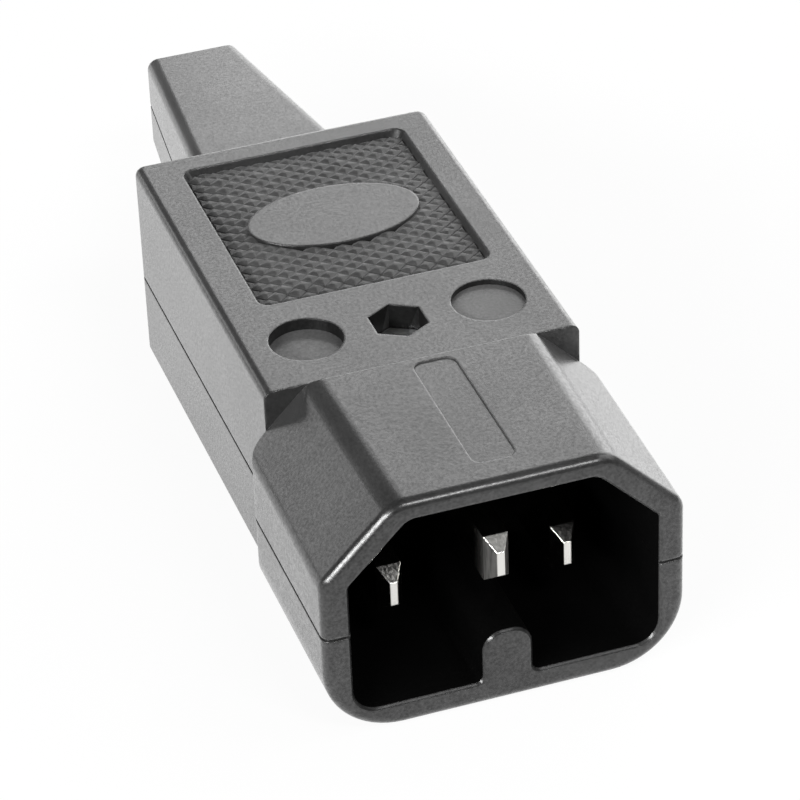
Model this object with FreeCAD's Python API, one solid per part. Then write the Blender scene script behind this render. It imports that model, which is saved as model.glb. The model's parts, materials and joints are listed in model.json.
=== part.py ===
"""Rewirable mains plug, the male half of a hot-condition appliance coupler.

Two moulded half-shells meet on a level parting plane. They hold three blade contacts with pillar
terminals, a cord clamp, and the screw and nut that keep the case shut.

Frame, in millimetres: +Z is up, the mating rim faces -Y and the cable nose points to +Y. The origin
lies under the middle of the plug's length, at the height of the shroud's underside.
"""
import FreeCAD, Part
import math
import os

from FreeCAD import Vector

# Shroud, and the recess that the mating connector enters
shroud_side_wall = 2.15
shroud_roof_wall = 1.65
shroud_foot_radius = 6.0
shroud_cheek_radius = 1.6
shroud_shoulder_radius = 2.6
shroud_overrun = 0.9
shroud_rear_ledge = 0.175
shroud_rear_bevel = 0.25
chamfer_draft = 0.28
rim_radius = 0.8
mouth_bevel = 0.2
recess_width = 24.5
recess_height = 16.5
recess_depth = 17.0
recess_floor_wall = 2.15
recess_chamfer = 4.8
recess_foot_radius = 2.0
recess_cheek_radius = 0.5
recess_shoulder_radius = 1.5
chamfer_wall = 1.9

# Bare window sunk in the shroud's top
window_width = 3.4
window_length = 14.2
window_front_gap = 2.8
window_shift = 0.4
window_depth = 0.1
window_radius = 0.9

# Key rib on the recess floor
key_width = 4.0
key_height = 4.45
key_crown_radius = 1.7
key_root_radius = 0.6

# Case walls
body_height = 18.16
body_lift = 1.8
body_edge_radius = 0.7
body_corner_radius = 0.9
split_height = 9.45
side_wall = 1.8
top_wall = 2.16
floor_wall = 1.8
rear_wall = 2.0
partition = 2.4
barrier_wall = 0.8
stop_rib = 1.0
stop_rib_height = 1.4
hold_down_rib = 1.2
seam_depth = 0.2
seam_height = 0.12

# Features of the top face
panel_side_margin = 3.125
panel_shift = 0.3
panel_front_gap = 5.8
panel_rear_margin = 2.5
panel_depth = 0.7
panel_slope = 0.35
panel_radius = 1.0
pad_length = 14.4
pad_width = 8.8
mark_diameter = 5.9
mark_spacing = 15.0
mark_offset = 0.1
left_mark_depth = 1.0
right_mark_depth = 0.45

# Cable nose
nose_length = 27.4
nose_base_width = 13.7
nose_base_height = 14.6
nose_side_wall = 1.0
nose_top_wall = 1.35
nose_edge_radius = 1.0
nose_tip_bevel = 0.3
cable_bore = 6.4
cable_grip_length = 8.0
entry_bore = 9.6

# Blade contacts and their terminals
blade_thickness = 2.0
blade_height = 4.0
tip_thickness = 0.6
tip_height = 2.1
tip_length = 1.2
pin_pitch = 14.0
power_pin_height = 5.8
earth_pin_rise = 4.0
power_tip_setback = 5.6
earth_tip_setback = 1.1
terminal_width = 5.4
terminal_height = 6.4
terminal_length = 9.0
terminal_edge = 0.4
wire_hole = 2.4
wire_hole_depth = 7.0
strap_thickness = 1.0
strap_height = 3.4
earth_terminal_gap = 2.4

# Screws, nut and clamp
terminal_thread = 3.0
terminal_screw_reach = 3.0
terminal_head = 4.4
terminal_head_height = 1.8
case_thread = 2.5
case_screw_length = 12.0
case_head = 4.6
case_head_height = 1.9
counterbore_depth = 3.0
nut_across_flats = 4.0
nut_height = 4.0
nut_recess = 2.1
boss_wall = 0.6
clamp_thread = 2.6
clamp_screw_length = 6.0
clamp_head = 4.6
clamp_head_height = 1.8
clamp_length = 6.0
clamp_thickness = 1.8
clamp_corner_radius = 2.0
clamp_boss_wall = 1.3
clamp_rear_gap = 2.0
saddle_thickness = 3.0
wiring_space = 6.2
slot_width = 0.8
slot_depth = 0.8
screw_edge = 0.3

# Clearances
fit_gap = 0.1
thread_gap = 0.05
hole_gap = 0.15
head_gap = 0.3
strap_gap = 0.3
overshoot = 1.0

# Column round the case screw
pocket_across_flats = nut_across_flats + 2 * fit_gap
boss_radius = pocket_across_flats / math.sqrt(3) + boss_wall

# Stations along the plug
overall_length = (recess_depth + partition + strap_thickness + strap_gap + 2 * boss_radius
                  + earth_terminal_gap + terminal_length + wiring_space + clamp_length + clamp_rear_gap
                  + rear_wall + nose_length)
rim_y = -overall_length / 2
recess_end_y = rim_y + recess_depth
step_y = recess_end_y + shroud_overrun
chamber_y = recess_end_y + partition
power_terminal_end_y = chamber_y + terminal_length
case_screw_y = chamber_y + strap_thickness + strap_gap + boss_radius
earth_terminal_y = case_screw_y + boss_radius + earth_terminal_gap
earth_terminal_end_y = earth_terminal_y + terminal_length
clamp_y = earth_terminal_end_y + wiring_space + clamp_length / 2
chamber_end_y = clamp_y + clamp_length / 2 + clamp_rear_gap
rear_y = chamber_end_y + rear_wall
tip_y = rear_y + nose_length

# Stations across the plug, from its middle outwards
strap_x = boss_radius + strap_gap
strap_outer_x = strap_x + strap_thickness
barrier_x = strap_outer_x + strap_gap
barrier_outer_x = barrier_x + barrier_wall
terminal_x = barrier_outer_x + fit_gap
chamber_half_width = terminal_x + terminal_width + fit_gap
body_half_width = chamber_half_width + side_wall
shroud_half_width = recess_width / 2 + shroud_side_wall
shroud_rear_radius = shroud_half_width - body_half_width - shroud_rear_ledge
earth_bay = (strap_outer_x - terminal_width, strap_outer_x)
chamber_x = (-chamber_half_width, chamber_half_width)
clamp_screw_x = cable_bore / 2 + clamp_thickness + clamp_head / 2 + fit_gap

# Heights
shroud_height = recess_floor_wall + recess_height + shroud_roof_wall
power_z = recess_floor_wall + power_pin_height
earth_z = power_z + earth_pin_rise
body_top = body_lift + body_height
chamber_top = body_top - top_wall
shelf_z = power_z - terminal_height / 2
terminal_top = shelf_z + terminal_height
floor_z = body_lift + floor_wall
head_seat_z = body_lift + counterbore_depth
nut_seat_z = body_top - nut_recess - nut_height

UP = Vector(0, 0, 1)
REARWARD = Vector(0, 1, 0)
LEFT, RIGHT = -1, 1


def on_section(y):
    """Places outline points (across, up) on the cross-section at y."""
    return lambda across, up: Vector(across, y, up)


def on_level(z):
    """Places outline points (across, along) on the level at z."""
    return lambda across, along: Vector(across, along, z)


def rounded_outline(corners, place):
    """Closed wire through (u, v, radius) corners, each rounded by its own radius."""
    bends = []
    for index, (u, v, radius) in enumerate(corners):
        corner = Vector(u, v, 0)
        before = Vector(*corners[index - 1][:2], 0) - corner
        after = Vector(*corners[(index + 1) % len(corners)][:2], 0) - corner
        half_angle = before.getAngle(after) / 2
        before.normalize()
        after.normalize()
        reach = radius / math.tan(half_angle)
        inward = (before + after).normalize()
        middle = corner + inward * (radius / math.sin(half_angle) - radius)
        stops = (corner + before * reach, middle, corner + after * reach)
        bends.append([place(stop.x, stop.y) for stop in stops])
    edges = []
    for index, (start, middle, end) in enumerate(bends):
        if not start.isEqual(end, Part.Precision.confusion()):
            edges.append(Part.Arc(start, middle, end).toShape())
        edges.append(Part.makeLine(end, bends[(index + 1) % len(bends)][0]))
    return Part.Wire(edges)


def rectangle(x_range, v_range, radius):
    """Corners of a rectangle with one radius."""
    return [(x_range[0], v_range[0], radius), (x_range[1], v_range[0], radius),
            (x_range[1], v_range[1], radius), (x_range[0], v_range[1], radius)]


def hexagon(across_flats, y):
    """Corners of a six-sided outline with two flats facing sideways."""
    radius = across_flats / math.sqrt(3)
    angles = [math.radians(90 + 60 * corner) for corner in range(6)]
    return [(radius * math.cos(angle), y + radius * math.sin(angle), 0.0) for angle in angles]


def prism(corners, place, sweep):
    return Part.Face(rounded_outline(corners, place)).extrude(sweep)


def box(x_range, y_range, z_range):
    spans = [high - low for low, high in (x_range, y_range, z_range)]
    return Part.makeBox(*spans, Vector(x_range[0], y_range[0], z_range[0]))


def taper(first, first_y, second, second_y, x, z):
    """Straight-sided solid between two upright rectangles (width, height), both centred on (x, z)."""
    (width, height), (end_width, end_height) = first, second
    return Part.makeWedge(x - width / 2, first_y, z - height / 2, z - end_height / 2, x - end_width / 2,
                          x + width / 2, second_y, z + height / 2, z + end_height / 2, x + end_width / 2)


def post(diameter, x, y, low, high):
    """Upright cylinder between two heights."""
    return Part.makeCylinder(diameter / 2, high - low, Vector(x, y, low), UP)


def cable_rod(diameter, start_y, end_y):
    """Cylinder on the cable's own line, which lies in the parting plane."""
    return Part.makeCylinder(diameter / 2, end_y - start_y, Vector(0, start_y, split_height), REARWARD)


def sides(inner, outer, side):
    """Range across the plug between two distances from its middle, on one side."""
    return (inner, outer) if side == RIGHT else (-outer, -inner)


def edges_where(shape, test):
    return [edge for edge in shape.Edges if all(test(vertex.Point) for vertex in edge.Vertexes)]


def lengthwise(edges):
    return [edge for edge in edges if not close(*(vertex.Y for vertex in edge.Vertexes))]


def close(first, second):
    return abs(first - second) < Part.Precision.confusion()


# Case

def shroud():
    """Hood round the recess, with drafted chamfers, a rounded rim and rounded rear corners."""
    half = shroud_half_width
    length = step_y - rim_y
    chamfer = recess_chamfer + shroud_roof_wall + shroud_side_wall - chamfer_wall * math.sqrt(2)
    corners = [(-half, 0, shroud_foot_radius), (half, 0, shroud_foot_radius),
               (half, shroud_height, 0.0), (-half, shroud_height, 0.0)]
    solid = prism(corners, on_section(rim_y), REARWARD * length)
    for side in (LEFT, RIGHT):
        corner = [(side * half, shroud_height - chamfer, 0.0), (side * (half - chamfer), shroud_height, 0.0),
                  (side * (half + chamfer), shroud_height + chamfer, 0.0)]
        sweep = Vector(side * chamfer_draft, length, chamfer_draft)
        solid = solid.cut(prism(corner, on_section(rim_y), sweep))
    shoulders = edges_where(solid, lambda point: close(point.z, shroud_height) and abs(point.x) < half)
    solid = solid.makeFillet(shroud_shoulder_radius, lengthwise(shoulders))
    cheeks = edges_where(solid, lambda point: close(abs(point.x), half) and point.z > shroud_height / 2)
    solid = solid.makeFillet(shroud_cheek_radius, lengthwise(cheeks))
    solid = solid.makeFillet(rim_radius, edges_where(solid, lambda point: close(point.y, rim_y)))
    plan = [(-half, rim_y, 0.0), (half, rim_y, 0.0),
            (half, step_y, shroud_rear_radius), (-half, step_y, shroud_rear_radius)]
    solid = solid.common(prism(plan, on_level(0), UP * shroud_height))
    bevel = [Vector(-half, step_y - shroud_rear_bevel, shroud_height), Vector(-half, step_y, shroud_height),
             Vector(-half, step_y, shroud_height - shroud_rear_bevel)]
    corner = Part.Face(Part.makePolygon(bevel + bevel[:1])).extrude(Vector(2 * half, 0, 0))
    return solid.cut([corner, rating_window()])


def rating_window():
    front = rim_y + window_front_gap
    x_range = (window_shift - window_width / 2, window_shift + window_width / 2)
    corners = rectangle(x_range, (front, front + window_length), window_radius)
    return prism(corners, on_level(shroud_height - window_depth), UP * (window_depth + overshoot))


def body_block():
    half = body_half_width
    corners = [(-half, step_y, 0.0), (half, step_y, 0.0),
               (half, rear_y, body_corner_radius), (-half, rear_y, body_corner_radius)]
    solid = prism(corners, on_level(body_lift), UP * body_height)
    front = edges_where(solid, lambda point: close(point.y, step_y))
    rims = []
    for level in (body_lift, body_top):
        rims += edges_where(solid, lambda point: close(point.z, level))
    rims = [edge for edge in rims if not any(edge.isSame(other) for other in front)]
    return solid.makeFillet(body_edge_radius, rims)


def nose():
    """Tapered cable nose, evenly about the parting plane."""
    base = (nose_base_width, nose_base_height)
    tip = (cable_bore + 2 * nose_side_wall, cable_bore + 2 * nose_top_wall)
    solid = taper(base, rear_y, tip, tip_y, 0.0, split_height)
    solid = solid.makeFillet(nose_edge_radius, lengthwise(solid.Edges))
    return solid.makeChamfer(nose_tip_bevel, edges_where(solid, lambda point: close(point.y, tip_y)))


def mating_recess():
    """Room for the connector: a rectangle with both upper corners cut at 45 degrees."""
    half = recess_width / 2
    floor = recess_floor_wall
    roof = floor + recess_height
    cheek = roof - recess_chamfer
    shoulder = half - recess_chamfer
    corners = [(-half, floor, recess_foot_radius), (half, floor, recess_foot_radius),
               (half, cheek, recess_cheek_radius), (shoulder, roof, recess_shoulder_radius),
               (-shoulder, roof, recess_shoulder_radius), (-half, cheek, recess_cheek_radius)]
    return prism(corners, on_section(rim_y - overshoot), REARWARD * (recess_depth + overshoot))


def key_rib():
    """Rib with a rounded crown and flared roots, sunk into the recess floor's wall."""
    half = key_width / 2
    floor = recess_floor_wall
    root = half + 2 * key_root_radius
    sunk = floor / 2
    corners = [(-root, sunk, 0.0), (root, sunk, 0.0), (root, floor, 0.0), (half, floor, key_root_radius),
               (half, floor + key_height, key_crown_radius), (-half, floor + key_height, key_crown_radius),
               (-half, floor, key_root_radius), (-root, floor, 0.0)]
    return prism(corners, on_section(rim_y), REARWARD * (recess_depth + shroud_overrun / 2))


def cable_passage():
    """Straight grip at the nose's tip, opening in a cone towards the wiring chamber."""
    grip_y = tip_y - cable_grip_length
    start = Vector(0, chamber_end_y, split_height)
    cone = Part.makeCone(entry_bore / 2, cable_bore / 2, grip_y - chamber_end_y, start, REARWARD)
    return cone.fuse(cable_rod(cable_bore, grip_y, tip_y + overshoot))


def blade_slots():
    """Slots through the partition, open to the parting plane so that the blades can be laid in."""
    half_width = blade_thickness / 2 + fit_gap
    half_height = blade_height / 2 + fit_gap
    y_range = (recess_end_y - overshoot, chamber_y + overshoot)
    slots = []
    for x, z in ((LEFT * pin_pitch / 2, power_z), (RIGHT * pin_pitch / 2, power_z), (0.0, earth_z)):
        z_range = (min(z - half_height, split_height), max(z + half_height, split_height))
        slots.append(box((x - half_width, x + half_width), y_range, z_range))
    return slots


def seam_groove():
    """Fine groove round the outside, where the two shells meet."""
    half_tip = cable_bore / 2 + nose_side_wall
    right = [(shroud_half_width, rim_y, rim_radius), (shroud_half_width, step_y, shroud_rear_radius),
             (body_half_width, step_y, 0.0), (body_half_width, rear_y, body_corner_radius),
             (nose_base_width / 2, rear_y, 0.0), (half_tip, tip_y - nose_tip_bevel, 0.0),
             (half_tip - nose_tip_bevel, tip_y, 0.0)]
    left = [(-across, along, radius) for across, along, radius in reversed(right)]
    outline = Part.Face(rounded_outline(right + left, on_level(split_height - seam_height)))
    ring = outline.makeOffset2D(overshoot, join=2).cut(outline.makeOffset2D(-seam_depth, join=2))
    return ring.extrude(UP * (2 * seam_height))


def grip_panel():
    """Sunk panel with sloping walls, less the plain pad left standing at its centre."""
    front = case_screw_y + panel_front_gap
    back = rear_y - panel_rear_margin
    half_width = body_half_width - panel_side_margin
    wires = []
    for z in (body_top - panel_depth, body_top + overshoot):
        spread = panel_slope * (z - body_top) / panel_depth
        x_range = (panel_shift - half_width - spread, panel_shift + half_width + spread)
        corners = rectangle(x_range, (front - spread, back + spread), panel_radius)
        wires.append(rounded_outline(corners, on_level(z)))
    pad_centre = Vector(panel_shift, (front + back) / 2, body_top - panel_depth)
    pad_rim = Part.Ellipse(pad_centre, pad_length / 2, pad_width / 2)
    pad = Part.Face(Part.Wire(pad_rim.toShape())).extrude(UP * panel_depth)
    return Part.makeLoft(wires, True, True).cut(pad)


def round_marks():
    y = case_screw_y + mark_offset
    marks = []
    for side, depth in ((LEFT, left_mark_depth), (RIGHT, right_mark_depth)):
        x = side * mark_spacing / 2
        marks.append(post(mark_diameter, x, y, body_top - depth, body_top + overshoot))
    return marks


def case_bore(low, high):
    return post(case_thread + 2 * hole_gap, 0, case_screw_y, low, high)


def whole_case():
    """Shroud, body and nose in one, with the keyed recess and the broken edge of its mouth."""
    recess = mating_recess()
    solid = shroud().fuse([body_block(), nose()]).cut(recess).fuse(key_rib()).removeSplitter()
    mouth = edges_where(solid, lambda point: close(point.y, rim_y) and recess.BoundBox.isInside(point))
    return solid.makeChamfer(mouth_bevel, mouth)


def half_of(case, z_range):
    bounds = case.BoundBox
    return case.common(box((bounds.XMin, bounds.XMax), (bounds.YMin, bounds.YMax), z_range))


def upper_shell(case, openings):
    full_z = (split_height, chamber_top)
    chamber = box(chamber_x, (chamber_y, chamber_end_y), full_z)
    kept = [post(2 * boss_radius, 0, case_screw_y, *full_z)]
    rib_z = (terminal_top + fit_gap, chamber_top)
    barrier_y = (chamber_y, power_terminal_end_y + fit_gap + stop_rib)
    for side in (LEFT, RIGHT):
        kept.append(box(sides(barrier_x, barrier_outer_x, side), barrier_y, full_z))
        bay = sides(barrier_outer_x, chamber_half_width, side)
        kept.append(box(bay, (chamber_y, chamber_y + hold_down_rib), rib_z))
        kept.append(box(bay, (power_terminal_end_y - hold_down_rib, power_terminal_end_y), rib_z))
    kept.append(box(earth_bay, (earth_terminal_y, earth_terminal_y + hold_down_rib), rib_z))
    hollows = [chamber.cut(kept), grip_panel(), case_bore(split_height - overshoot, nut_seat_z + overshoot)]
    hollows.append(prism(hexagon(pocket_across_flats, case_screw_y), on_level(nut_seat_z),
                         UP * (body_top + overshoot - nut_seat_z)))
    half = half_of(case, (split_height, case.BoundBox.ZMax))
    return half.cut(openings + hollows + round_marks()).removeSplitter()


def lower_shell(case, openings):
    shelf_end_y = earth_terminal_end_y + fit_gap + stop_rib
    full_z = (shelf_z, split_height)
    front_bay = box(chamber_x, (chamber_y, shelf_end_y), full_z)
    rear_bay = box(chamber_x, (shelf_end_y, chamber_end_y), (floor_z, split_height))
    kept = [post(2 * boss_radius, 0, case_screw_y, *full_z)]
    stop_y = (power_terminal_end_y + fit_gap, power_terminal_end_y + fit_gap + stop_rib)
    stop_z = (shelf_z, shelf_z + stop_rib_height)
    clamp_boss = clamp_thread + 2 * clamp_boss_wall
    for side in (LEFT, RIGHT):
        kept.append(box(sides(barrier_x, barrier_outer_x, side), (chamber_y, stop_y[1]), full_z))
        kept.append(box(sides(barrier_outer_x, chamber_half_width, side), stop_y, stop_z))
        kept.append(post(clamp_boss, side * clamp_screw_x, clamp_y, floor_z, split_height))
    kept.append(box(earth_bay, (earth_terminal_end_y + fit_gap, shelf_end_y), stop_z))
    saddle_y = (clamp_y - saddle_thickness / 2, clamp_y + saddle_thickness / 2)
    saddle = box((-clamp_screw_x, clamp_screw_x), saddle_y, (floor_z, split_height))
    kept.append(saddle.cut(cable_rod(cable_bore, *saddle_y)))
    hollows = [front_bay.fuse(rear_bay).cut(kept)]
    hollows.append(post(case_head + 2 * head_gap, 0, case_screw_y, body_lift - overshoot, head_seat_z))
    hollows.append(case_bore(head_seat_z, split_height + overshoot))
    pilot_low = split_height + clamp_thickness - clamp_screw_length - fit_gap
    for side in (LEFT, RIGHT):
        pilot = clamp_thread + 2 * thread_gap
        hollows.append(post(pilot, side * clamp_screw_x, clamp_y, pilot_low, split_height + overshoot))
    half = half_of(case, (case.BoundBox.ZMin, split_height))
    return half.cut(openings + hollows).removeSplitter()


# Contacts

def blade(x, z, tip_setback):
    """Flat blade with a tip bevelled on all four sides, from its tip to the front of the chamber."""
    front = rim_y + tip_setback
    full = (blade_thickness, blade_height)
    point = taper((tip_thickness, tip_height), front, full, front + tip_length, x, z)
    return point.fuse(taper(full, front + tip_length, full, chamber_y, x, z))


def terminal_block(x_range, front):
    """Pillar terminal with a wire hole from the rear and a screw hole from the top."""
    end = front + terminal_length
    solid = box(x_range, (front, end), (shelf_z, terminal_top))
    solid = solid.makeChamfer(terminal_edge, edges_where(solid, lambda point: close(point.y, end)))
    x = sum(x_range) / 2
    z = (shelf_z + terminal_top) / 2
    wire_start = Vector(x, end - wire_hole_depth, z)
    wire = Part.makeCylinder(wire_hole / 2, wire_hole_depth + overshoot, wire_start, REARWARD)
    screw_hole = terminal_thread + 2 * thread_gap
    return solid.cut([wire, post(screw_hole, x, front + terminal_length / 2, z, terminal_top + overshoot)])


def power_pin(side):
    block = terminal_block(sides(terminal_x, terminal_x + terminal_width, side), chamber_y)
    return block.fuse(blade(side * pin_pitch / 2, power_z, power_tip_setback)).removeSplitter()


def earth_pin():
    """Earth blade, whose strap turns aside and runs past the case screw to the terminal behind it."""
    strap_low = terminal_top - strap_height
    bend_y = chamber_y + strap_thickness
    jog_z = (strap_low, earth_z + blade_height / 2)
    jog = box((-blade_thickness / 2, strap_outer_x), (chamber_y, bend_y), jog_z)
    strap = box((strap_x, strap_outer_x), (bend_y, earth_terminal_y), (strap_low, terminal_top))
    block = terminal_block(earth_bay, earth_terminal_y)
    return blade(0.0, earth_z, earth_tip_setback).fuse([jog, strap, block]).removeSplitter()


# Fasteners and clamp

def screw(thread, length, head, head_height):
    """Slotted screw with its head's underside at the origin and its shank downwards."""
    shank_radius = thread / 2
    head_radius = head / 2
    profile = [(0, -length), (shank_radius, -length), (shank_radius, 0), (head_radius, 0),
               (head_radius, head_height - screw_edge), (head_radius - screw_edge, head_height),
               (0, head_height), (0, -length)]
    outline = Part.makePolygon([Vector(radius, 0, z) for radius, z in profile])
    turned = Part.Face(outline).revolve(Vector(0, 0, 0), UP, 360)
    slot = box((-head_radius, head_radius), (-slot_width / 2, slot_width / 2),
               (head_height - slot_depth, head_height + overshoot))
    return turned.cut(slot)


def terminal_screw(x_range, front):
    solid = screw(terminal_thread, terminal_screw_reach, terminal_head, terminal_head_height)
    solid.translate(Vector(sum(x_range) / 2, front + terminal_length / 2, terminal_top))
    return solid


def case_screw():
    solid = screw(case_thread, case_screw_length, case_head, case_head_height)
    solid.rotate(Vector(0, 0, 0), REARWARD, 180)
    solid.translate(Vector(0, case_screw_y, head_seat_z))
    return solid


def case_nut():
    solid = prism(hexagon(nut_across_flats, case_screw_y), on_level(nut_seat_z), UP * nut_height)
    bore = case_thread + 2 * thread_gap
    return solid.cut(post(bore, 0, case_screw_y, nut_seat_z, nut_seat_z + nut_height))


def cord_clamp():
    """Arched bar over the cord, with a flat foot for a screw at each end."""
    y_range = (clamp_y - clamp_length / 2, clamp_y + clamp_length / 2)
    foot_z = (split_height, split_height + clamp_thickness)
    half = clamp_screw_x + clamp_head / 2
    corners = rectangle((-half, half), y_range, clamp_corner_radius)
    feet = prism(corners, on_level(split_height), UP * clamp_thickness)
    arch_radius = cable_bore / 2 + clamp_thickness
    upper_half = box((-arch_radius, arch_radius), y_range, (split_height, split_height + arch_radius))
    arch = cable_rod(2 * arch_radius, *y_range).common(upper_half)
    hole = clamp_thread + 2 * hole_gap
    holes = [post(hole, side * clamp_screw_x, clamp_y, *foot_z) for side in (LEFT, RIGHT)]
    return feet.fuse(arch).cut(holes + [cable_rod(cable_bore, *y_range)]).removeSplitter()


def clamp_screw(side):
    solid = screw(clamp_thread, clamp_screw_length, clamp_head, clamp_head_height)
    solid.translate(Vector(side * clamp_screw_x, clamp_y, split_height + clamp_thickness))
    return solid


def build():
    """All pieces by name."""
    case = whole_case()
    openings = [cable_passage(), seam_groove()] + blade_slots()
    bays = {side: sides(terminal_x, terminal_x + terminal_width, side) for side in (LEFT, RIGHT)}
    return {
        "upper_shell": upper_shell(case, openings),
        "lower_shell": lower_shell(case, openings),
        "left_power_pin": power_pin(LEFT),
        "right_power_pin": power_pin(RIGHT),
        "earth_pin": earth_pin(),
        "left_terminal_screw": terminal_screw(bays[LEFT], chamber_y),
        "right_terminal_screw": terminal_screw(bays[RIGHT], chamber_y),
        "earth_terminal_screw": terminal_screw(earth_bay, earth_terminal_y),
        "case_screw": case_screw(),
        "case_nut": case_nut(),
        "cord_clamp": cord_clamp(),
        "left_clamp_screw": clamp_screw(LEFT),
        "right_clamp_screw": clamp_screw(RIGHT),
    }


os.makedirs("parts", exist_ok=True)
for name, piece in build().items():
    piece.exportStep(f"parts/{name}.step")
    size = piece.optimalBoundingBox()
    print(f"{name}: {len(piece.Solids)} solid, {piece.Volume:.1f} mm3, valid {piece.isValid()}, "
          f"{size.XLength:.2f} x {size.YLength:.2f} x {size.ZLength:.2f} mm")
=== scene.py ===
"""Looks of the rewirable plug: faded black mouldings, nickel blades, zinc-plated screws, on a white floor.

Lengths are in metres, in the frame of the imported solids.
"""

import json
import math
import random

import bmesh
import bpy
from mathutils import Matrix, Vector


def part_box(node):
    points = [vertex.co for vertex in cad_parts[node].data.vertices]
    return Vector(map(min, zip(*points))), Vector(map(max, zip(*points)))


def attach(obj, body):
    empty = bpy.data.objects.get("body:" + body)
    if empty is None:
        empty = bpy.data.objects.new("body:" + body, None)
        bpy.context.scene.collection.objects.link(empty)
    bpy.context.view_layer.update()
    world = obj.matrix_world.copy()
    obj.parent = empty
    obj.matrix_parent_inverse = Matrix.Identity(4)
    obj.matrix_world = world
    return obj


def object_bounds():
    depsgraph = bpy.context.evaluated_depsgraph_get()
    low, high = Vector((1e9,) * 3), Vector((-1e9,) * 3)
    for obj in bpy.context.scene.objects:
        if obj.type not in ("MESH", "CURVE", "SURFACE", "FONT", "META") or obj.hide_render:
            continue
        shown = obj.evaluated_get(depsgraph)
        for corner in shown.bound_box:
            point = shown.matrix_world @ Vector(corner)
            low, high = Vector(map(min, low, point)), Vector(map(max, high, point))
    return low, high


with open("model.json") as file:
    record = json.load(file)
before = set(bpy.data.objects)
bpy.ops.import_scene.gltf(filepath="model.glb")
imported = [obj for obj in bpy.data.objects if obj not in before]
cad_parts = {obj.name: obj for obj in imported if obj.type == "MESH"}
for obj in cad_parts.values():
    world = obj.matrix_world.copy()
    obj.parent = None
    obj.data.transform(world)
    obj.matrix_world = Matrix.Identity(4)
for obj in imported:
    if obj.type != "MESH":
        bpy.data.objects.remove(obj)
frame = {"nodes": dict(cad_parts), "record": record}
cad_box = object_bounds()

MM = 0.001

# Camera
CAMERA_EYE = Vector((-76.97, -256.63, 183.40)) * MM
CAMERA_TURN = (55.777, 1.920, -19.097)
CAMERA_LENS = 173.49
SENSOR_WIDTH = 36.0

# Sunk panel on the top face, with its plain pad and its grip of blunt points
PANEL_CENTRE = Vector((0.3, -0.1875, 19.26)) * MM
PANEL_HALF = (9.35 * MM, 10.81 * MM)
PAD_HALF = (7.2 * MM, 4.4 * MM)
PAD_SHARE = 0.95
GRIP_COUNT = (12, 16)
GRIP_BASE = ((-1, 0), (0, -1), (1, 0), (0, 1))
GRIP_HEIGHT = 0.18 * MM
GRIP_SWELL = 0.33 * MM
GRIP_SLOPE = 2.1 * MM
GRIP_SUNK = 0.02 * MM
GRIP_FOOT = 1.15
GRIP_CROWN = 0.3
GRIP_WANDER = 0.15
GRIP_SEED = 7

# Recess for the connector
RECESS_HALF_WIDTH = 12.6 * MM
RECESS_FLOOR = 1.85 * MM
RECESS_ROOF = 18.95 * MM
RECESS_CHAMFER = 26.6 * MM
RECESS_FOOT = 9.3 * MM
RECESS_FRONT = -40.7 * MM
RECESS_BACK = -23.8 * MM
RIM = -40.87 * MM

# Round marks and six-sided pocket in the top face, and bare window in the shroud
MARK_LOWEST = 18.8 * MM
MARK_HIGHEST = 19.7 * MM
MARK_BACK = -11.5 * MM
MARK_FRONT = -21.5 * MM
MARK_REACH = 10.6 * MM
POCKET_FLOOR = 17.0 * MM
WINDOW_FLOOR = 20.19 * MM
WINDOW_HALF_WIDTH = 2.2 * MM

# Parts of a face's normal that tell which way it looks
FACING_UP = 0.9
FACING_LEFT = -0.2
UPRIGHT = 0.3
STEEP = 0.5

# Skins of the shells, in the order of their material slots
# Skins after the case's are copies of the plastic: two darker ones are painted shade, the last a paler one,
# painted light.
CASE_SKIN, PAINTED_SHADE_RECESS_SKIN, PAINTED_SHADE_INNER_SKIN, MATTE_PAINTED_LIGHT_SKIN = range(4)

# Sockets of a Mix node for each kind of value: first, second and result
MIX_SOCKETS = {"FLOAT": (2, 3, 0), "VECTOR": (4, 5, 1), "RGBA": (6, 7, 2)}

# Noises
NOISE_SPREAD = (0.3, 0.7)
NOISE_ROUGHNESS = 0.55

# Outer edges, told from inner corners by how open they are
EDGE_SAMPLES = 6
OPEN_SAMPLES = 8
OPEN_REACH = 2
OPEN_SHARE = 0.95

# Moulded plastic
PLASTIC_EDGE = 0.25 * MM
PLASTIC_IOR = 1.5
CLOUD_SCALE = 140.0
CLOUD_DETAIL = 4.0
MOTTLE_SCALE = 4200.0
GRAIN_SCALE = 7000.0
FINE_DETAIL = 2.0
GRAIN_BUMP = 0.16
GRAIN_DEPTH = 0.02 * MM
FADING = (0.4, 1.8)
ROUGHNESS_SWING = 0.06
COAT_CLOUD = (0.88, 1.12)
COAT_MOTTLE = (0.5, 1.5)
COAT_ROUGHNESS = 0.2
SHEEN_ROUGHNESS = 0.5
DUST_SCALE = 420.0
DUST_SIZE = 0.035
DUST_RARITY = 0.975
DUST_SHADE = 12

# Nickel plating
NICKEL = (0.76, 0.75, 0.72, 1.0)
NICKEL_EDGE = 0.15 * MM
STREAK_SCALE = (6000.0, 180.0, 6000.0)
STREAK_DETAIL = 3.0
STREAK_BUMP = 0.05
STREAK_DEPTH = 0.01 * MM
STREAK_ROUGHNESS = (0.08, 0.2)
SCORED_NICKEL = (0.12, 0.118, 0.115, 1.0)
SCORED_DEPTH = (-38.8 * MM, -36.4 * MM)
SCORED_SIDE = 0.5
SCORE_SCALE = (2600.0, 2600.0, 260.0)
SCORE_SPREAD = (0.38, 0.62)
SCORE_SHARE = (0.45, 1.0)
SCORE_ROUGHNESS = (0.36, 0.58)

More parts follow.
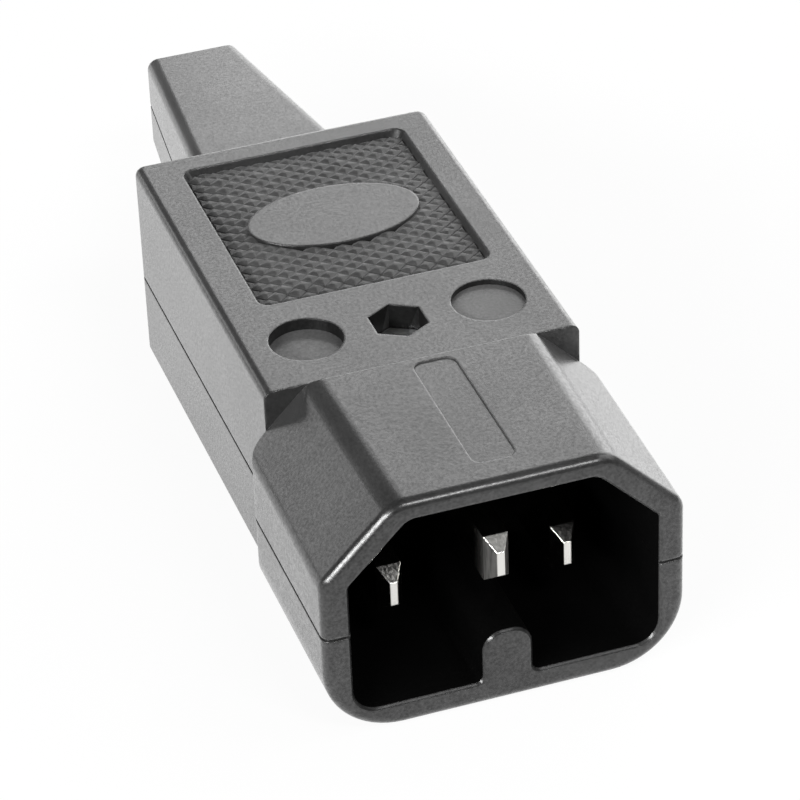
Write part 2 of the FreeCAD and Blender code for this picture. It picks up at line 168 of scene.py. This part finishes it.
# Zinc plating
ZINC_DARK = (0.50, 0.51, 0.53, 1.0)
ZINC_PALE = (0.62, 0.62, 0.60, 1.0)
ZINC_ROUGHNESS = (0.26, 0.4)
STAIN_SCALE = 900.0
STAIN_DETAIL = 3.0
RING_SCALE = 1500.0
RING_DETAIL = 2.0
RING_DISTORTION = 0.6
RING_BUMP = 0.2
RING_DEPTH = 0.01 * MM

# Floor, whose mirror image is darker where the plug shades it
FLOOR_RADIUS = 4.0
FLOOR_SEGMENTS = 96
FLOOR_DROP = 0.01 * MM
FLOOR_WHITE = 0.85
FLOOR_GLOW = 0.92
SHADE_WAY = (-0.6, 0.7, 0.4)
SHADE_REACH = 10.0 * MM
SHADE_POWER = 2.0

# Soft lamps: name, azimuth and elevation in degrees, width, height and radiance
SOFTBOXES = (
    ("rear_high_lamp", 37.0, 37.0, 0.76, 0.182, 1.95),
    ("rear_low_lamp", 21.0, 13.2, 0.268, 0.362, 1.36),
    ("rear_right_lamp", 46.5, 13.6, 0.459, 0.378, 2.2),
    ("rear_left_lamp", -37.0, 13.0, 0.28, 0.2, 1.2),
    ("left_lamp", -124.0, 26.5, 0.58, 0.11, 28.0),
    ("front_lamp", 164.0, 48.0, 0.25, 0.13, 15.0),
    ("right_lamp", 95.0, 45.0, 0.6, 0.6, 1.5),
)
LAMP_DISTANCE = 0.8
WORLD_LEVEL = 0.2

# Power that gives an area lamp a radiance of 1 for each square metre
LAMP_POWER = 4

# Card that lies on the floor to the right and shines up
CARD_PLACE = Vector((105.0, 75.0, 0.5)) * MM
CARD_BACK = Vector((0.0, 0.0, -1.0))
CARD_SIZE = (0.18, 0.22)
CARD_RADIANCE = 0.34


# Nodes

def feed(tree, socket, value):
    """Link a socket to another node's output, or set it to a plain value."""
    if isinstance(value, bpy.types.NodeSocket):
        tree.links.new(value, socket)
    else:
        socket.default_value = value


def add_node(tree, kind, inputs=None, **settings):
    made = tree.nodes.new("ShaderNode" + kind)
    for key, value in settings.items():
        setattr(made, key, value)
    for key, value in (inputs or {}).items():
        feed(tree, made.inputs[key], value)
    return made


def math_node(tree, operation, first, second=0.0):
    return add_node(tree, "Math", {0: first, 1: second}, operation=operation).outputs[0]


def product(tree, first, second):
    return math_node(tree, "MULTIPLY", first, second)


def noise(tree, place, scale, detail):
    inputs = {"Vector": place, "Scale": scale, "Detail": detail, "Roughness": NOISE_ROUGHNESS}
    return add_node(tree, "TexNoise", inputs).outputs["Fac"]


def stretched_noise(tree, place, scale, detail):
    """Noise with a scale of its own along each axis."""
    stretched = add_node(tree, "Mapping", {"Vector": place, "Scale": scale}).outputs["Vector"]
    return noise(tree, stretched, 1.0, detail)


def spread(tree, value, source, target):
    """Value taken from one range to another, and held inside it."""
    inputs = {"Value": value, "From Min": source[0], "From Max": source[1],
              "To Min": target[0], "To Max": target[1]}
    return add_node(tree, "MapRange", inputs).outputs["Result"]


def grey(level):
    return (level, level, level, 1.0)


def ramp(tree, value, low, high):
    """Colour from low to high as a noise goes through its spread."""
    made = add_node(tree, "ValToRGB", {"Fac": value})
    for element, position, colour in zip(made.color_ramp.elements, NOISE_SPREAD, (low, high)):
        element.position = position
        element.color = colour
    return made.outputs["Color"]


def mix(tree, kind, factor, first, second):
    first_socket, second_socket, result = MIX_SOCKETS[kind]
    inputs = {0: factor, first_socket: first, second_socket: second}
    return add_node(tree, "Mix", inputs, data_type=kind).outputs[result]


def rounded_edges(tree, radius):
    """Normal with the outer edges rounded off. Inner corners, which shade themselves, stay sharp."""
    sharp = add_node(tree, "NewGeometry").outputs["Normal"]
    rounded = add_node(tree, "Bevel", {"Radius": radius}, samples=EDGE_SAMPLES).outputs["Normal"]
    shading = add_node(tree, "AmbientOcclusion", {"Distance": OPEN_REACH * radius},
                       samples=OPEN_SAMPLES, only_local=True)
    outer = math_node(tree, "GREATER_THAN", shading.outputs["AO"], OPEN_SHARE)
    return mix(tree, "VECTOR", outer, sharp, rounded)


def bump(tree, height, strength, distance, normal=None):
    inputs = {"Height": height, "Strength": strength, "Distance": distance}
    if normal is not None:
        inputs["Normal"] = normal
    return add_node(tree, "Bump", inputs).outputs["Normal"]


def start_material(name):
    material = bpy.data.materials.new(name)
    material.use_nodes = True
    tree = material.node_tree
    place = add_node(tree, "TexCoord").outputs["Object"]
    return material, tree, tree.nodes["Principled BSDF"], place


def finish_material(tree, shader, **sockets):
    for key, value in sockets.items():
        feed(tree, shader.inputs[key.replace("_", " ").title().replace("Ior", "IOR")], value)


# Materials

def dust(tree, place):
    """A few pale specks."""
    cells = add_node(tree, "TexVoronoi", {"Vector": place, "Scale": DUST_SCALE}).outputs
    chance = add_node(tree, "SeparateColor", {0: cells["Color"]}).outputs["Red"]
    return product(tree, math_node(tree, "LESS_THAN", cells["Distance"], DUST_SIZE),
                   math_node(tree, "GREATER_THAN", chance, DUST_RARITY))


def moulded_plastic(name, shade, roughness, specular, polish, sheen):
    """Black moulding: cloudy fading, fine mottle and grain, a few specks of dust, under a polished skin."""
    material, tree, shader, place = start_material(name)
    cloud = noise(tree, place, CLOUD_SCALE, CLOUD_DETAIL)
    mottle = noise(tree, place, MOTTLE_SCALE, FINE_DETAIL)
    grain = noise(tree, place, GRAIN_SCALE, FINE_DETAIL)
    tone = product(tree, math_node(tree, "ADD", cloud, mottle), 0.5)
    skin = bump(tree, grain, GRAIN_BUMP, GRAIN_DEPTH, rounded_edges(tree, PLASTIC_EDGE))
    colour = ramp(tree, tone, *(grey(share * shade) for share in FADING))
    colour = mix(tree, "RGBA", dust(tree, place), colour, grey(DUST_SHADE * shade))
    coat = product(tree, spread(tree, cloud, NOISE_SPREAD, COAT_CLOUD),
                   spread(tree, mottle, NOISE_SPREAD, [share * polish for share in COAT_MOTTLE]))
    finish_material(
        tree, shader, base_color=colour, ior=PLASTIC_IOR, specular_ior_level=specular,
        coat_weight=coat, coat_roughness=COAT_ROUGHNESS,
        sheen_weight=sheen, sheen_roughness=SHEEN_ROUGHNESS,
        roughness=spread(tree, tone, NOISE_SPREAD,
                         (roughness - ROUGHNESS_SWING, roughness + ROUGHNESS_SWING)),
        normal=skin, coat_normal=skin)
    return material


def nickel(name):
    """Bright plating with streaks along the blade, scored on the sides of the tip that mates first."""
    material, tree, shader, place = start_material(name)
    facing = add_node(tree, "TexCoord").outputs["Normal"]
    sideways = math_node(tree, "ABSOLUTE", add_node(tree, "SeparateXYZ", {0: facing}).outputs["X"])
    depth = add_node(tree, "SeparateXYZ", {0: place}).outputs["Y"]
    scored = product(tree, math_node(tree, "GREATER_THAN", sideways, SCORED_SIDE),
                     spread(tree, depth, SCORED_DEPTH, (1.0, 0.0)))
    streaks = stretched_noise(tree, place, STREAK_SCALE, STREAK_DETAIL)
    scores = stretched_noise(tree, place, SCORE_SCALE, STREAK_DETAIL)
    bright = spread(tree, streaks, NOISE_SPREAD, STREAK_ROUGHNESS)
    dulled = spread(tree, scores, NOISE_SPREAD, SCORE_ROUGHNESS)
    darkened = product(tree, scored, spread(tree, scores, SCORE_SPREAD, SCORE_SHARE))
    finish_material(
        tree, shader, metallic=1.0,
        base_color=mix(tree, "RGBA", darkened, NICKEL, SCORED_NICKEL),
        roughness=mix(tree, "FLOAT", scored, bright, dulled),
        normal=bump(tree, streaks, STREAK_BUMP, STREAK_DEPTH, rounded_edges(tree, NICKEL_EDGE)))
    return material


def turned_steel(name, low, high):
    """Zinc plating over turned steel: rings about the screw's own upright axis."""
    material, tree, shader, place = start_material(name)
    middle = (low + high) / 2
    shift = {"Vector": place, "Location": (-middle.x, -middle.y, 0.0)}
    shifted = add_node(tree, "Mapping", shift).outputs["Vector"]
    inputs = {"Vector": shifted, "Scale": RING_SCALE, "Distortion": RING_DISTORTION,
              "Detail": RING_DETAIL}
    rings = add_node(tree, "TexWave", inputs, wave_type="RINGS", rings_direction="Z").outputs["Fac"]
    stain = noise(tree, place, STAIN_SCALE, STAIN_DETAIL)
    finish_material(
        tree, shader, metallic=1.0,
        base_color=ramp(tree, stain, ZINC_DARK, ZINC_PALE),
        roughness=spread(tree, stain, NOISE_SPREAD, ZINC_ROUGHNESS),
        normal=bump(tree, rings, RING_BUMP, RING_DEPTH))
    return material


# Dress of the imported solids

def in_recess(point):
    return (abs(point.x) < RECESS_HALF_WIDTH and RECESS_FLOOR < point.z < RECESS_ROOF
            and abs(point.x) + point.z < RECESS_CHAMFER and abs(point.x) - point.z < RECESS_FOOT
            and RIM < point.y < RECESS_BACK)


def in_mark_floor(face):
    return (face.normal.z > FACING_UP and MARK_LOWEST < face.center.z < MARK_HIGHEST
            and RECESS_BACK < face.center.y < MARK_BACK)


def in_hole_wall(face):
    return (abs(face.normal.z) < UPRIGHT and face.center.z > POCKET_FLOOR
            and abs(face.center.x) < MARK_REACH and MARK_FRONT < face.center.y < MARK_BACK)


def in_window_edge(face):
    return (abs(face.normal.z) < STEEP and face.center.z > WINDOW_FLOOR
            and abs(face.center.x) < WINDOW_HALF_WIDTH and face.center.y < RECESS_BACK)


def shell_skin(face):
    """Skin of one face of a shell.

    The moulding has faded outside. In the recess it gets a near-black copy without sheen or coat, painted
    shade. At the recess's mouth and on the walls of marks and pocket it gets a darker, duller copy, painted
    shade. On the marks' floors and the window's edges it gets a paler, duller copy, painted light that lifts
    their shading.
    """
    # Painted shade: the recess's faces get a near-black copy of the plastic.
    if in_recess(face.center):
        if face.center.y > RECESS_FRONT:
            return PAINTED_SHADE_RECESS_SKIN
        # Painted shade: mouth faces that don't face left get a darker copy.
        return PAINTED_SHADE_INNER_SKIN if face.normal.x > FACING_LEFT else CASE_SKIN
    # Painted shade: the walls of the marks and pocket get the darker copy.
    if in_hole_wall(face):
        return PAINTED_SHADE_INNER_SKIN
    # Painted light: the marks' floors and the window's edges get a paler, duller copy.
    if in_mark_floor(face) or in_window_edge(face):
        return MATTE_PAINTED_LIGHT_SKIN
    return CASE_SKIN


def dress(node, *materials):
    node.data.materials.clear()
    for material in materials:
        node.data.materials.append(material)


def dress_shell(node, skins):
    dress(node, *skins)
    for face in node.data.polygons:
        face.material_index = shell_skin(face)


def dress_nodes():
    skins = (
        moulded_plastic("case_plastic", shade=0.011, roughness=0.34, specular=0.3, polish=0.8, sheen=0.1),
        # Painted shade: near-black copy for the recess.
        moulded_plastic("recess_painted_shade_plastic", shade=0.001, roughness=0.7, specular=0.05, polish=0.0, sheen=0.0),
        # Painted shade: darker copy for the recess's mouth and the walls of marks and pocket.
        moulded_plastic("inner_painted_shade_plastic", shade=0.008, roughness=0.4, specular=0.25, polish=0.1, sheen=0.0),
        # Painted light: paler copy for the marks' floors and the window's edges.
        moulded_plastic("matte_painted_light_plastic", shade=0.05, roughness=0.5, specular=0.5, polish=0.3, sheen=0.15),
    )
    dull = moulded_plastic("clamp_plastic", shade=0.025, roughness=0.55, specular=0.5, polish=0.0, sheen=0.1)
    plain = {"clamp": dull, "contact": nickel("contact_nickel")}
    for subpart in frame["record"]["subparts"]:
        name, slot = subpart["node"], subpart["material_slot"]
        if slot == "steel":
            dress(frame["nodes"][name], turned_steel(name + "_zinc", *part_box(name)))
        elif slot == "case":
            dress_shell(frame["nodes"][name], skins)
        else:
            dress(frame["nodes"][name], plain[slot])


# Pieces

def add_object(name, mesh, material):
    data = bpy.data.meshes.new(name)
    mesh.to_mesh(data)
    mesh.free()
    data.materials.append(material)
    made = bpy.data.objects.new(name, data)
    bpy.context.scene.collection.objects.link(made)
    return made


def add_piece(name, mesh, material):
    piece = add_object(name, mesh, material)
    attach(piece, "root")


def add_point(mesh, column, row, chance):
    """Blunt point on a diamond base, a little uneven as moulded.

    The ground under the points swells from the panel's walls to the pad.
    """
    half = Vector((PANEL_HALF[0] / GRIP_COUNT[0], PANEL_HALF[1] / GRIP_COUNT[1], 0))
    middle = PANEL_CENTRE + Vector((column * half.x, row * half.y, 0))
    from_wall = min(PANEL_HALF[0] - abs(column * half.x), PANEL_HALF[1] - abs(row * half.y))
    swell = Vector((0, 0, GRIP_SWELL * min(from_wall / GRIP_SLOPE, 1)))
    wander = [chance.uniform(-GRIP_WANDER, GRIP_WANDER) for _ in range(3)]
    rise = Vector((wander[0] * half.x, wander[1] * half.y, GRIP_HEIGHT * (1 + wander[2])))
    corners = [Vector((half.x * u, half.y * v, 0)) for u, v in GRIP_BASE
               if abs(column + u) <= GRIP_COUNT[0] and abs(row + v) <= GRIP_COUNT[1]]
    rings = [[mesh.verts.new(middle + lift + corner * reach) for corner in corners]
             for lift, reach in ((Vector((0, 0, -GRIP_SUNK)), GRIP_FOOT), (swell, GRIP_FOOT),
                                 (swell + rise, GRIP_CROWN))]
    mesh.faces.new(list(reversed(rings[0])))
    mesh.faces.new(rings[-1])
    for lower, upper in zip(rings, rings[1:]):
        for index in range(len(corners)):
            mesh.faces.new((lower[index - 1], lower[index], upper[index], upper[index - 1]))


def add_grip_texture():
    """Diamond points over the panel's floor, halved along its walls, round the plain pad."""
    chance = random.Random(GRIP_SEED)
    mesh = bmesh.new()
    columns, rows = GRIP_COUNT
    for column in range(-columns, columns + 1):
        for row in range(-rows, rows + 1):
            x, y = PANEL_HALF[0] * column / columns, PANEL_HALF[1] * row / rows
            beside_pad = math.hypot(x / PAD_HALF[0], y / PAD_HALF[1]) > PAD_SHARE
            in_corner = abs(column) == columns and abs(row) == rows
            if (column + row) % 2 == 0 and beside_pad and not in_corner:
                add_point(mesh, column, row, chance)
    # Painted light: a paler, rougher copy of the case's plastic, so the points read lighter.
    grip = moulded_plastic("grip_painted_light_plastic", shade=0.03, roughness=0.52, specular=0.5, polish=0.2, sheen=0.15)
    add_piece("grip_texture", mesh, grip)


# Studio

def white_floor():
    """White that glows to the camera, and in mirrors as far as the plug leaves it open."""
    material = bpy.data.materials.new("white_floor")
    material.use_nodes = True
    tree = material.node_tree
    tree.nodes.remove(tree.nodes["Principled BSDF"])
    diffuse = add_node(tree, "BsdfDiffuse", {"Color": grey(FLOOR_WHITE)}).outputs[0]
    glow = add_node(tree, "Emission", {"Color": grey(1.0), "Strength": 1.0}).outputs[0]
    rays = add_node(tree, "LightPath").outputs
    mirrored = math_node(tree, "MAXIMUM", rays["Is Glossy Ray"], rays["Is Transmission Ray"])
    way = add_node(tree, "CombineXYZ", dict(zip("XYZ", SHADE_WAY))).outputs[0]
    shading = add_node(tree, "AmbientOcclusion", {"Distance": SHADE_REACH, "Normal": way})
    open_share = math_node(tree, "POWER", shading.outputs["AO"], SHADE_POWER)
    seen = math_node(tree, "MAXIMUM", rays["Is Camera Ray"], product(tree, mirrored, open_share))
    share = product(tree, seen, FLOOR_GLOW)
    mixed = add_node(tree, "MixShader", {0: share, 1: diffuse, 2: glow}).outputs[0]
    tree.links.new(mixed, tree.nodes["Material Output"].inputs["Surface"])
    return material


def add_floor():
    mesh = bmesh.new()
    bmesh.ops.create_circle(mesh, cap_ends=True, segments=FLOOR_SEGMENTS, radius=FLOOR_RADIUS)
    floor = add_object("floor", mesh, white_floor())
    floor.location.z = cad_box[0].z - FLOOR_DROP


def add_panel_lamp(name, place, back, width, height, radiance):
    """Flat lamp at a place, shining away from its back."""
    light = bpy.data.lights.new(name, "AREA")
    light.shape = "RECTANGLE"
    light.size, light.size_y = width, height
    light.energy = LAMP_POWER * width * height * radiance
    lamp = bpy.data.objects.new(name, light)
    lamp.location = place
    lamp.rotation_mode = "QUATERNION"
    lamp.rotation_quaternion = back.to_track_quat("Z", "Y")
    lamp.visible_camera = False
    bpy.context.scene.collection.objects.link(lamp)


def add_softbox(name, azimuth, elevation, width, height, radiance):
    """Soft lamp round the plug. Azimuth 0 stands behind the nose, 90 on the right."""
    turn, rise = math.radians(azimuth), math.radians(elevation)
    way = Vector((math.sin(turn) * math.cos(rise), math.cos(turn) * math.cos(rise), math.sin(rise)))
    add_panel_lamp(name, way * LAMP_DISTANCE, way, width, height, radiance)


def add_world():
    world = bpy.data.worlds.new("studio")
    world.use_nodes = True
    world.node_tree.nodes["Background"].inputs["Color"].default_value = grey(WORLD_LEVEL)
    bpy.context.scene.world = world


def add_camera():
    data = bpy.data.cameras.new("camera")
    data.lens = CAMERA_LENS
    data.sensor_width = SENSOR_WIDTH
    camera = bpy.data.objects.new("camera", data)
    camera.location = CAMERA_EYE
    camera.rotation_euler = [math.radians(angle) for angle in CAMERA_TURN]
    bpy.context.scene.collection.objects.link(camera)
    bpy.context.scene.camera = camera


dress_nodes()
add_grip_texture()
add_floor()
for softbox in SOFTBOXES:
    add_softbox(*softbox)
add_panel_lamp("right_card", CARD_PLACE, CARD_BACK, *CARD_SIZE, CARD_RADIANCE)
add_world()
add_camera()
bpy.context.scene.view_settings.view_transform = "Standard"
